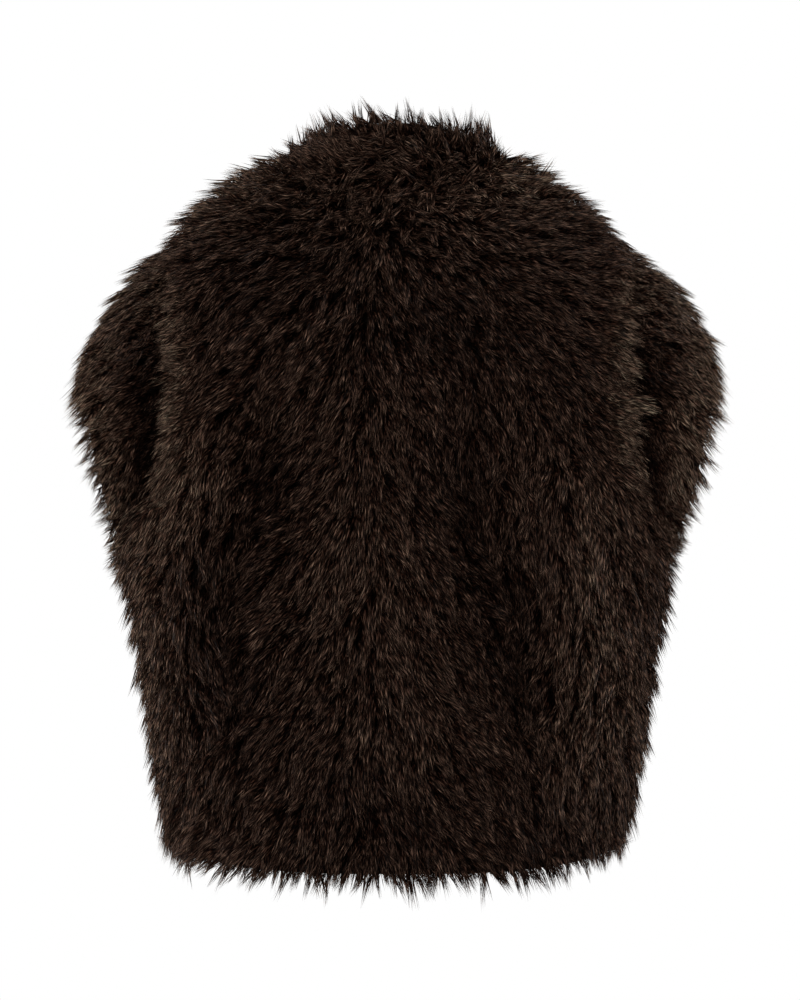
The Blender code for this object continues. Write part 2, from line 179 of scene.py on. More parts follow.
# Lean of the nap on the back, in degrees from straight down towards the wearer's right
COMB_STATIONS = (0.210, 0.160, 0.110, 0.050, 0.031, 0.015, -0.010, -0.060, -0.115, -0.165, -0.215)
BACK_COMB = (
    (-0.012, (-95, -95, -85, -50, -20, 0, 20, 60, 95, 105, 105)),
    (-0.066, (-80, -79, -60, -40, -15, 8, 28, 48, 80, 100, 95)),
    (-0.120, (-70, -42, -36, -30, -17, 15, 36, 30, 43, 69, 70)),
    (-0.174, (-66, -35, -40, -20, -15, 15, 30, 5, 30, 53, 64)),
    (-0.228, (-62, -11, -26, -25, -18, 18, 22, 6, -5, 33, 52)),
    (-0.282, (-54, -6, -43, -35, -22, 22, 28, 20, 0, 10, 46)),
    (-0.336, (-32, 0, -46, -22, -18, 18, 32, 33, 8, 2, 18)),
    (-0.390, (-5, 8, -41, -30, -20, 20, 31, 41, -15, -11, 9)),
    (-0.444, (5, 25, -25, -25, -18, 18, 22, 40, -15, -20, 12)),
    (-0.498, (-5, -2, -33, -24, -16, 16, 22, 39, 9, -10, 8)),
    (-0.552, (-25, -36, -27, -12, -8, 8, 14, 40, 28, 0, 6)),
    (-0.606, (-35, -50, -36, -6, -3, 3, 9, 28, 16, 12, 14)),
)
FRONT_LEANS = ((-0.60, 6), (-0.30, 16), (-0.12, 40), (0.0, 70))  # height, degrees from straight down
COLLAR_PLACES = (-0.06, -0.02, 0.02, 0.06)  # x, from the wearer's right to the left
COLLAR_LEANS_LOW = (-112, -122, -128, -112)  # degrees from straight up to the wearer's right, at the seam
COLLAR_LEANS_TOP = (-25, -22, -30, -45)  # and at the top edge
SLEEVE_DROOPS = (  # height, and how much the nap of a sleeve turns down
    (-0.33, 1.4),
    (-0.28, 0.6),
    (-0.22, 0.35),
    (-0.15, 0.22),
    (-0.08, 0.1),
)
DOWN = np.array((0.0, 0.0, -1.0))
MESS = 0.16  # radians that a lock is turned from the nap, at most
TUFT_TURN = 0.30  # and a tuft
NECK_MESS = 1.6  # and a lock at the neck seam
NECK_MESS_FRONT = 1.0  # and there on the fronts
NECK_MESS_TOP = 0.9  # and at the collar's top edge
NECK_REACH = 0.080  # how far below the neck seam the body's pile is rough
NECK_LIFT = 8.0  # degrees that the pile stands steeper at that seam of the back, and on the collar

# How the pile stands, and how it goes round a cut edge in a small roll
LIFT_IN_TROUGH = 10.0  # degrees added in the deepest trough
DEEP_TROUGH = 0.010
EDGE_REACH = 0.022  # how far from a cut edge the pile changes
EDGE_DROP = 10.0  # degrees that it lies flatter there
HEM_LENGTH, SLEEVE_LENGTH, COLLAR_LENGTH = 0.72, 0.64, 0.72  # share of its length that is left there
ROLL = 0.0016  # radius
ROLL_TURNS = (0, 30, 60, 85)  # degrees
ROLL_INSET = 0.004  # how far inside the edge of the backing the roll begins
ROLL_IN = 0.7  # how much the nap turns in on it
ROLL_LIFT = 68.0  # degrees
COLLAR_ROLL_LIFT = 44.0
HEM_ROLL, SLEEVE_ROLL, COLLAR_ROLL, FRONT_ROLL = 0.36, 0.56, 0.30, 0.45  # share of the length left on it

# How the pile changes beside an armhole seam
SEAM_SHOWS = ((-0.310, 0.0), (-0.260, 1.0), (-0.120, 1.0), (-0.070, 0.0))  # height, and how much it does
SEAM_REACH = 0.020  # how far from the seam it does on the back
SEAM_TURN = 0.8  # how much the back's nap turns straight out over the seam
SEAM_LIGHT = 0.6  # how much painted light the back's edge gets, where its pile stands in a ridge over the seam
SEAM_LIGHT_REACH = 0.030
SEAM_LENGTH_LEFT, SEAM_LENGTH_RIGHT = 0.42, 0.60  # share of the back's length that is left at its edge
SLEEVE_SEAM_REACH = 1.6 * SEAM_REACH  # and on a sleeve
SLEEVE_SEAM_LENGTH = 0.36  # share of a sleeve's length that is left beside the seam
SLEEVE_SHADES = ((0.0, 0.0), (0.28, 0.0), (0.37, 0.4), (0.47, 0.95), (1.0, 1.0))  # from the seam to the edge: painted shadow under the back's fringe, painted light towards the edge
SLEEVE_SHOWS = ((-0.310, 0.0), (-0.260, 1.0), (-0.170, 1.0), (-0.105, 0.0))  # height, and how much they show
SLEEVE_LIGHT = 0.95  # shade of a sleeve where they don't, which is painted light

# Fringe of the back, which hangs out over the sleeves
FRINGE_LENGTHS = ((-0.290, 0.5), (-0.240, 0.85), (-0.200, 1.0), (-0.130, 1.0), (-0.070, 0.6))  # by height
FRINGES = {"left": (1, 0.92), "right": (-1, 0.96)}  # side, and share of that length
FRINGE_DROOPS = ((-0.290, 0.9), (-0.240, 0.6), (-0.180, 0.36))  # height, and how much it turns down
FRINGE_ROWS = (6, 23)  # of the armhole's rows, from the underarm
FRINGE_COLUMNS = (2, 4)  # of the back's columns, from its edge
FRINGE_LIFT = 14.0  # degrees steeper than a lock is made
# the fringe is painted light, as its long pile catches the light
FRINGE_SHADE = 1.0

# Places where the pile differs
PLAIN_SHADE = 0.5  # of the pile elsewhere, from 0 to 1
Press = namedtuple("Press", "x y z reach length lift")
PRESSES = (  # where the pile keeps a share of its length, and degrees that it stands steeper
    Press(SLEEVE_LOW_X, 0.0, SLEEVE_LOW_Z, 0.040, 1.0, 40.0),  # under the arms
    Press(-SLEEVE_LOW_X, 0.0, SLEEVE_LOW_Z, 0.060, 0.66, 34.0),
    Press(0.262, 0.0, -0.100, 0.045, 0.85, -14.0),  # at the head of the left sleeve
    Press(0.225, 0.0, -0.085, 0.100, 0.84, 3.0),  # over the shoulders
    Press(-0.225, 0.0, -0.085, 0.100, 0.76, 2.0),
    Press(0.110, 0.0, 0.000, 0.060, 0.98, 14.0),  # beside the collar
    Press(-0.110, 0.0, 0.000, 0.060, 0.90, 9.0),
    Press(-0.200, 0.070, -0.600, 0.055, 0.62, 0.0),  # at a corner of the hem
    Press(0.215, 0.020, -0.440, 0.110, 0.80, 14.0),  # down the sides
    Press(-0.215, 0.020, -0.440, 0.110, 0.78, 14.0),
    Press(0.175, 0.0, -0.015, 0.050, 0.92, 3.0),  # at the middle of the shoulders
    Press(-0.170, 0.0, -0.010, 0.050, 0.75, 2.0),
)
Patch = namedtuple("Patch", "x z half_width half_height shade")
BACK_PATCHES = (  # where the back's pile has painted shade, in troughs and where it lies flat and felted, or painted light, where it stands combed
    Patch(0.115, -0.102, 0.063, 0.054, -0.24),
    Patch(-0.029, -0.129, 0.066, 0.045, -0.45),
    Patch(0.102, -0.262, 0.045, 0.063, -0.45),
    Patch(-0.055, -0.282, 0.030, 0.081, -0.45),
    Patch(-0.096, -0.408, 0.040, 0.090, -0.5),
    Patch(0.160, -0.372, 0.036, 0.099, -0.4),
    Patch(0.048, -0.356, 0.032, 0.090, 0.25),
    Patch(-0.160, -0.400, 0.032, 0.135, 0.36),
    Patch(0.145, -0.010, 0.060, 0.045, 0.5),
    Patch(-0.135, -0.020, 0.050, 0.050, 0.1),
    Patch(0.055, -0.420, 0.036, 0.100, -0.2),
    Patch(0.124, -0.440, 0.028, 0.090, -0.32),
    Patch(0.010, -0.545, 0.060, 0.040, -0.3),
    Patch(-0.115, -0.572, 0.060, 0.045, -0.34),
    Patch(0.200, -0.390, 0.024, 0.140, 0.4),
    Patch(-0.130, -0.180, 0.060, 0.070, -0.22),
    Patch(0.080, -0.055, 0.070, 0.040, -0.2),
    Patch(0.165, -0.250, 0.032, 0.050, 0.5),
    Patch(-0.020, -0.240, 0.025, 0.040, -0.2),
    Patch(-0.095, 0.004, 0.040, 0.035, 0.55),
    Patch(0.160, -0.190, 0.030, 0.040, -0.12),
    Patch(-0.120, -0.064, 0.100, 0.024, -0.14),
    Patch(-0.205, -0.320, 0.025, 0.100, -0.15),
)

# How the pile is sown, in the words of PILE_INPUTS
Sowing = namedtuple("Sowing", "spacing density gather seed")
SOWINGS = {
    "back": Sowing(0.0040, 54000.0, 0.42, 140),
    "front_left": Sowing(0.0049, 34000.0, 0.42, 310),
    "front_right": Sowing(0.0049, 34000.0, 0.42, 290),
    "sleeve_left": Sowing(0.0036, 64000.0, 0.25, 510),
    "sleeve_right": Sowing(0.0036, 64000.0, 0.25, 490),
    "collar": Sowing(0.0032, 80000.0, 0.4, 700),
}
PILE_SIZES = {
    "Tufts per metre": 120.0,
    "Swirl": 1.1,
    "Swirl scale": 26.0,
    "Stray": 0.008,
    "Stray scale": 70.0,
    "Frizz": 0.006,
    "Frizz scale": 420.0,
}
ROLL_SIZES = {"Spacing": 0.0022, "Locks per square metre": 180000.0, "Frizz": 0.0035}
FINE_ROLL = {"Gather": 0.12, "Tufts per metre": 190.0}
DENSE_ROLL = {"Spacing": 0.0015, "Locks per square metre": 380000.0}
FRINGE_SIZES = {"Gather": 0.55, "Tufts per metre": 105.0, "Frizz": 0.002}
OWN_SIZES = {  # of the pile that differs from the rest
    "hem_pile": FINE_ROLL,
    "back_hem_pile": DENSE_ROLL,
    "collar_edge_pile": {**FINE_ROLL, **DENSE_ROLL},
    "left_fringe_pile": FRINGE_SIZES,
    "right_fringe_pile": FRINGE_SIZES,
}

# Camera, level with the middle of the vest and behind its wearer
CAMERA_DISTANCE = 2.6
CAMERA_X, CAMERA_Z = -0.0018, -0.2817
FRAME_HEIGHT = 0.900  # what the camera takes in at the vest's middle
SENSOR_HEIGHT = 24.0  # millimetres

# Studio
SURROUND_LIGHT = 0.32  # what a white surround gives, as a share of what the camera sees of it
FLOOR_Z = -1.45
FLOOR_HALF = 3.4
FLOOR_COLOURS = ((0.3, (0.80, 0.80, 0.80)), (0.7, (0.83, 0.83, 0.83)))
FLOOR_GRAIN, FLOOR_DETAIL = 3.0, 3.0
FLOOR_ROUGH = 0.9
Lamp = namedtuple("Lamp", "name place aim size power")
LAMPS = (
    Lamp("left_side", (1.9, -0.2, 0.0), (0, 0, -0.3), 1.6, 60.0),
    Lamp("right_side", (-1.9, -0.2, 0.0), (0, 0, -0.3), 1.6, 54.0),
    Lamp("overhead", (0.0, -0.3, 1.7), (0, 0, -0.2), 1.8, 30.0),
    Lamp("behind", (0.7, 2.2, 1.0), (0, 0, -0.3), 1.0, 26.0),
    Lamp("before", (-0.5, -2.4, 0.8), (0, 0, -0.3), 1.6, 24.0),
)


def unit(vectors):
    """Vectors made one long."""
    return vectors / np.maximum(np.linalg.norm(vectors, axis=-1, keepdims=True), 1e-12)


def laid(ways, normals):
    """Directions laid flat on cloth that has these normals."""
    return unit(ways - normals * np.sum(ways * normals, axis=-1, keepdims=True))


def by_height(table, points):
    """The values at points, from a table of heights and values."""
    heights, values = zip(*table)
    return np.interp(points[..., 2], heights, values)


def between(low, high, share):
    """A value from low, where a share is 0, to high, where it is 1."""
    return low + (high - low) * share


def steps_of(points, axis):
    """Distances between neighbouring points along one axis of a grid."""
    return np.linalg.norm(np.diff(points, axis=axis), axis=-1)


def so_far(steps):
    """Lengths along a line from its first point, from its steps."""
    return np.concatenate([[0], np.cumsum(steps)])


def ring_at(t):
    """The body's ring at t, which counts rings from the hem, on a smooth curve through the table."""
    rows = np.array(BODY_RINGS)
    k = min(int(t), NECK - 1)
    u = t - k
    before, here, there, after = (rows[min(max(k + step, 0), NECK)] for step in (-1, 0, 1, 2))
    bend = 2 * before - 5 * here + 4 * there - after
    turn = 3 * (here - there) + after - before
    return Ring(*(here + 0.5 * u * (there - before + u * (bend + u * turn))))


def quarter_line(ring, depth):
    """A quarter of a ring as (x, y, length so far), from the centre line to the side."""
    angle = np.linspace(0, math.pi / 2, ARC_STEPS)
    power = 2 / ring.squareness
    x = ring.half_width * np.sin(angle) ** power
    y = depth * np.maximum(np.cos(angle), 0) ** power
    return x, y, so_far(np.hypot(np.diff(x), np.diff(y)))


def quarter_length(t, front):
    """How long a quarter of the body's ring at t is, on the front or the back."""
    ring = ring_at(t)
    return quarter_line(ring, ring.front_depth if front else ring.back_depth)[2][-1]


def fold_height(folds, x, z):
    """How far the folds push the cloth out at a place seen from behind or before."""
    height = 0.0
    for fold in folds:
        start = np.array((fold.x_top, fold.z_top))
        run = np.array((fold.x_low, fold.z_low)) - start
        along = np.dot(np.array((x, z)) - start, run) / np.dot(run, run)
        nearest = start + run * min(max(along, 0.0), 1.0)
        off = math.dist((x, z), nearest) / fold.half_width
        height += fold.height * math.exp(-off * off)
    return height


def ring_point(ring, side, round_share):
    """A point of a ring: round_share is 0 at the centre back, 1 at the side and 2 at the centre front."""
    front = round_share > 1
    share = 2 - round_share if front else round_share
    depth = ring.front_depth if front else ring.back_depth
    end_z = ring.z_front if front else ring.z_back
    x, y, length = quarter_line(ring, depth)
    x, y = (np.interp(share * length[-1], length, line) for line in (x, y))
    z = ring.z_side + (end_z - ring.z_side) * (y / depth) ** 2
    power = ring.squareness - 1
    out = unit(np.array(((x / ring.half_width) ** power / ring.half_width, (y / depth) ** power / depth)))
    push = fold_height(FRONT_FOLDS if front else BACK_FOLDS, side * x, z)
    x, y = x + push * out[0], y + push * out[1]
    return np.array((side * x, -y if front else y, z))


def armhole_reach(t):
    """How much of its full depth the armhole has at t: 0 at the underarm and at the shoulder tip."""
    rise = (t - UNDERARM) / (SHOULDER_TIP - UNDERARM)
    if not 0 < rise < 1:
        return 0.0
    return math.sin(math.pi * rise**ARMHOLE_LEAN) ** ARMHOLE_ROUND


def panel_edge(t, front):
    """Where a panel ends beside the side seam, the armhole or the shoulder seam."""
    reach = armhole_reach(t) * (ARMHOLE_FRONT if front else -ARMHOLE_BACK)
    return 1 + reach / quarter_length(t, front)


def body_rows():
    """The values of t for the rows of every body panel. They gather a little at the armhole's ends."""
    lower = np.linspace(HEM_T, UNDERARM, LOWER_ROWS + 1)
    step = np.arange(1, ARMHOLE_ROWS + 1) / ARMHOLE_ROWS
    eased = (step + (1 - np.cos(math.pi * step)) / 2) / 2
    armhole = UNDERARM + (SHOULDER_TIP - UNDERARM) * eased
    yoke = np.linspace(SHOULDER_TIP, NECK, YOKE_ROWS + 1)[1:]
    return np.concatenate([lower, armhole, yoke])


def back_places(t):
    """Across the back, from the wearer's left to the right."""
    edge = panel_edge(t, front=False)
    shares = np.linspace(edge, -edge, BACK_COLUMNS + 1)
    return [(1 if share >= 0 else -1, abs(share)) for share in shares]


def front_places(side):
    """Across one front, in the way that goes left round the body."""

    def places(t):
        ring = ring_at(t)
        x, _, length = quarter_line(ring, ring.front_depth)
        front_edge = 2 - np.interp(FRONT_GAP / 2, x, length) / length[-1]
        shares = np.linspace(front_edge, panel_edge(t, front=True), FRONT_COLUMNS + 1)
        return [(side, share) for share in (shares if side > 0 else shares[::-1])]

    return places


def body_grid(places):
    """Points of a body panel, row by row from the hem."""
    points = np.array([[ring_point(ring_at(t), *place) for place in places(t)] for t in body_rows()])
    points[0, :, 2] += HEM_ROUND * (np.abs(points[0, :, 0]) / BODY_RINGS[0].half_width) ** HEM_ROUND_POWER
    return points


def armhole_ring(side, back, front):
    """The armhole's seam from the shoulder tip, down the front and up the back."""
    back_edge = 0 if side > 0 else -1
    front_edge = -1 if side > 0 else 0
    down = front[TIP_ROW:UNDERARM_ROW:-1, front_edge]
    up = back[UNDERARM_ROW:TIP_ROW, back_edge]
    return np.concatenate([down, up])


def sleeve_grid(side, seam):
    """Points of a cap sleeve, from its seam out to its cut edge. The last column is joined to the first."""
    length = so_far(steps_of(np.vstack([seam, seam[:1]]), 0))
    angle = np.interp(length[:-1], (0, length[ARMHOLE_ROWS], length[-1]), (0, math.pi, 2 * math.pi))
    top = np.array((side * SLEEVE_TOP_X, 0, SLEEVE_TOP_Z))
    low = np.array((side * SLEEVE_LOW_X, 0, SLEEVE_LOW_Z))
    depth = np.array((0, -SLEEVE_HALF_DEPTH, 0))
    edge = (top + low) / 2 + np.outer(np.cos(angle), (top - low) / 2) + np.outer(np.sin(angle), depth)
    out = edge - (top + low) / 2 + np.array((side * SLEEVE_HALF_DEPTH, 0, 0))
    bulge = SLEEVE_BULGE * (1 + np.cos(angle)) / 2
    more = SLEEVE_ALLOWANCE * np.clip((edge[:, 2] - SLEEVE_LOW_Z) / SLEEVE_ALLOWANCE_FADE, 0, 1)
    whole = 1 + more / np.maximum(np.linalg.norm(edge - seam, axis=1), SHORTEST_SLEEVE)
    rows = []
    for share in np.linspace(0, 1, SLEEVE_ROWS + 1):
        share = share * whole[:, None]
        lift = bulge[:, None] * np.sin(math.pi * np.minimum(share, 1.0))
        rows.append(seam + (edge - seam) * share + unit(out) * lift)
    return np.array(rows)


def collar_grid(neck):
    """Points of the stand collar, from the neck seam to its top edge."""
    places = front_places(1)(NECK) + back_places(NECK)[1:] + front_places(-1)(NECK)[1:]
    top = np.array([ring_point(COLLAR_TOP, side, share) for side, share in places])
    whole = 1 + COLLAR_ALLOWANCE / np.linalg.norm(top - neck, axis=1)[:, None]
    return np.array([neck + (top - neck) * whole * share for share in np.linspace(0, 1, COLLAR_ROWS + 1)])


def sheet_of_faces(rows, columns, closed, flip):
    """Squares of a grid of points, facing outward."""
    for r in range(rows - 1):
        for c in range(columns if closed else columns - 1):
            d = (c + 1) % columns
            square = (r * columns + c, r * columns + d, (r + 1) * columns + d, (r + 1) * columns + c)
            yield square[::-1] if flip else square


def grid_mesh(name, points, closed=False, flip=False):
    """A grid of points as one sheet of faces."""
    mesh = bpy.data.meshes.new(name)
    faces = list(sheet_of_faces(*points.shape[:2], closed, flip))
    mesh.from_pydata(points.reshape(-1, 3).tolist(), [], faces)
    return mesh


class Panel:
    """One cut piece of cloth: a grid of points with its outward normals and its two directions."""

    def __init__(self, points, closed=False, flip=False):
        self.points = points
        self.closed = closed
        self.flip = flip
        if closed:
            self.across = unit(np.roll(points, -1, axis=1) - np.roll(points, 1, axis=1))
        else:
            self.across = unit(np.gradient(points, axis=1))
        self.along = unit(np.gradient(points, axis=0))
        self.normals = unit(np.cross(self.across, self.along)) * (-1 if flip else 1)


class Wire:
    """A socket of a node tree that takes part in sums. Without a socket it only adds nodes to its tree."""

    def __init__(self, tree, socket=None):
        self.tree = tree
        self.socket = socket

    def node(self, kind, settings=None, sockets=None, out=0):
        """Adds a node of a kind, with its settings, then the values or links of its sockets."""
        node = self.tree.nodes.new(kind)
        for name, value in (settings or {}).items():
            if name == "stops":
                fill_ramp(node.color_ramp, value)
            else:
                setattr(node, name, value)
        for key, value in (sockets or {}).items():
            if isinstance(value, Wire):
                self.tree.links.new(value.socket, node.inputs[key])
            else:
                node.inputs[key].default_value = value
        return Wire(self.tree, node.outputs[out] if node.outputs else None)

    def out(self, name):
        """Another output of the same node."""
        return Wire(self.tree, self.socket.node.outputs[name])

    def parts(self):
        """The three numbers of a vector or a colour."""
        x = self.node("ShaderNodeSeparateXYZ", None, {0: self})
        return x, x.out("Y"), x.out("Z")

    def vector(self, operation, first, second):
        """Vector Math on two vectors, or on a vector and the number that scales it."""
        key = "Scale" if operation == "SCALE" else 1
        return self.node("ShaderNodeVectorMath", {"operation": operation}, {0: first, key: second})

    def sum(self, operation, first, second=0.0):
        """Math on two numbers, or on one."""
        return self.node("ShaderNodeMath", {"operation": operation}, {0: first, 1: second})

    def __add__(self, other):
        return self.sum("ADD", self, other)

    __radd__ = __add__

    def __mul__(self, other):
        return self.sum("MULTIPLY", self, other)

    __rmul__ = __mul__

    def __sub__(self, other):
        return self.sum("SUBTRACT", self, other)

    def __rsub__(self, other):
        return self.sum("SUBTRACT", other, self)

    def __pow__(self, other):
        return self.sum("POWER", self, other)

    def sine(self):
        """The sine of a number."""
        return self.sum("SINE", self)


def fill_ramp(ramp, stops):
    """Sets a colour ramp's stops, each a place and a colour."""
    while len(ramp.elements) < len(stops):
        ramp.elements.new(1.0)
    for element, (place, colour) in zip(ramp.elements, stops):
        element.position = place
        element.color = (*colour, 1.0)


def new_material(name):
    """An empty Principled material as (material, a wire of its tree, its shader)."""
    material = bpy.data.materials.new(name)
    material.use_nodes = True
    return material, Wire(material.node_tree), material.node_tree.nodes["Principled BSDF"]


def join(wire, shader, name):
    """Feeds a wire to one of a shader's sockets."""
    wire.tree.links.new(wire.socket, shader.inputs[name])


def pile_material():
    """Dark brown hair, darker at its root, from its own map: tone across, root to tip along. Its glints and
    grey sheen are painted in its colour.
    """
    material, nodes, shader = new_material("brown_pile")
    tone, along, _ = nodes.node("ShaderNodeUVMap", {"uv_map": "OFBake"}).parts()
    # painted highlights: bands of light along each hair for the glints of crimped hair
    glint = (along * (math.tau * GLINTS_PER_HAIR) + tone * GLINT_SHIFT).sine() * 0.5 + 0.5
    lightness = (TONE_DARK + TONE_MORE * tone**TONE_POWER) * (GLINT_DARK + GLINT_MORE * glint**GLINT_POWER)
    red = between(RED_DARK, RED_LIGHT, tone**RED_POWER)
    redness = nodes.node("ShaderNodeCombineXYZ", None, {0: red, 1: 1.0, 2: 1.0})
    hair = nodes.node("ShaderNodeValToRGB", {"stops": HAIR_COLOURS}, {"Fac": along})
    colour = nodes.vector("SCALE", nodes.vector("MULTIPLY", hair, redness), lightness)
    join(colour, shader, "Base Color")
    join(HAIR_ROUGH - HAIR_SMOOTHER * along, shader, "Roughness")
    shader.inputs["Specular IOR Level"].default_value = HAIR_SHINE
    return material


def backing_material():
    """The fine dark knit that the pile grows from, seen inside the vest, darkened in part as painted shadow
    between the hairs and in its hollows.
    """
    material, nodes, shader = new_material("brown_knit")
    place = nodes.node("ShaderNodeUVMap", {"uv_map": "cloth"})
    across, along, _ = place.parts()
    rib = (across * (math.tau / WALE)).sine()
    loop = (along * (math.tau / COURSE) + LOOP_SHIFT * rib).sine()
    height = KNIT_MIDDLE + RIB_HEIGHT * rib + LOOP_HEIGHT * loop
    grain = {"Vector": place, "Scale": WEAR_SCALE, "Detail": WEAR_DETAIL}
    wear = nodes.node("ShaderNodeTexNoise", None, grain)
    shade = height * RELIEF_SHADE + wear * WEAR_SHADE
    colour = nodes.node("ShaderNodeValToRGB", {"stops": KNIT_COLOURS}, {"Fac": shade})
    relief = {"Strength": KNIT_BUMP, "Distance": KNIT_DEPTH, "Height": height}
    join(colour, shader, "Base Color")
    join(KNIT_ROUGH - KNIT_SMOOTHER * height, shader, "Roughness")
    join(nodes.node("ShaderNodeBump", None, relief), shader, "Normal")
    shader.inputs["Specular IOR Level"].default_value = KNIT_SHINE
    return material


def add_map(mesh, name, places):
    """A flat map of a mesh, from the place on it of each point."""
    layer = mesh.uv_layers.new(name=name)
    corners = [places[loop.vertex_index] for loop in mesh.loops]
    layer.data.foreach_set("uv", np.array(corners, np.float32).ravel())


def lock_mesh(name, draw):
    """A lock of flat tapered hairs from the origin, risen along +Z and laid over along +Y."""
    points, faces, tones = [], [], []
    for _ in range(HAIRS):
        turn = draw.uniform(0, math.tau)
        far = math.sqrt(draw.uniform(0, 1)) * ROOT_SPREAD
        root = np.array((math.cos(turn) * far, math.sin(turn) * far, 0.0))
        size = draw.uniform(*HAIR_LENGTHS)
        tip = np.array((draw.normal(0, TIP_SPREAD), REACH * size, RISE * size))
        tip += draw.normal(0, (0.0, TIP_SPREAD, TIP_SPREAD))
        tip += root * ROOT_IN_TIP
        roll = draw.uniform(-HAIR_ROLL, HAIR_ROLL)
        tone = draw.uniform(TONE_HALF_WIDTH * 2, HAIR_TONES)
        width = HAIR_WIDTH * draw.uniform(*HAIR_WIDTHS)
        first = len(points)
        slope = unit(np.array((0.0, -(tip[2] - root[2]), tip[1] - root[1])))
        across = math.cos(roll) * np.array((1.0, 0.0, 0.0)) + math.sin(roll) * slope
        for share in (0.0, BEND):
            bent = np.array((share, share**BEND_REACH, 1 - (1 - share) ** BEND_RISE))
            middle = root + (tip - root) * bent
            points += [middle - across * width / 2, middle + across * width / 2]
            tones += [(tone - TONE_HALF_WIDTH, share), (tone + TONE_HALF_WIDTH, share)]
        points.append(tip)
        tones.append((tone, 1.0))
        faces.append((first, first + 1, first + 3, first + 2))
        faces.append((first + 2, first + 3, first + 4))
    mesh = bpy.data.meshes.new(name)
    mesh.from_pydata([tuple(point) for point in points], [], faces)
    mesh.shade_smooth()
    add_map(mesh, "OFBake", tones)
    return mesh


def make_locks():
    """The shapes of lock that the pile is made of, in a collection of their own."""
    locks = bpy.data.collections.new("locks")
    draw = np.random.default_rng(LOCK_SEED)
    for number in range(LOCK_SHAPES):
        name = f"lock_{number}"
        locks.objects.link(bpy.data.objects.new(name, lock_mesh(name, draw)))
    return locks


PILE_INPUTS = {
    "Backing": "NodeSocketGeometry",
    "Locks": "NodeSocketCollection",
    "Pile": "NodeSocketMaterial",
    "Spacing": "NodeSocketFloat",  # least distance between two locks
    "Locks per square metre": "NodeSocketFloat",  # before those that are too close are left out
    "Tufts per metre": "NodeSocketFloat",  # neighbouring locks gather in tufts
    "Gather": "NodeSocketFloat",  # how far a tip goes to the middle of its tuft, as a share
    "Swirl": "NodeSocketFloat",  # radians that neighbouring locks turn together
    "Swirl scale": "NodeSocketFloat",
    "Stray": "NodeSocketFloat",  # how far the tips of neighbouring hairs wander together
    "Stray scale": "NodeSocketFloat",
    "Frizz": "NodeSocketFloat",  # how far each hair's tip wanders on its own
    "Frizz scale": "NodeSocketFloat",
    "Seed": "NodeSocketInt",
}


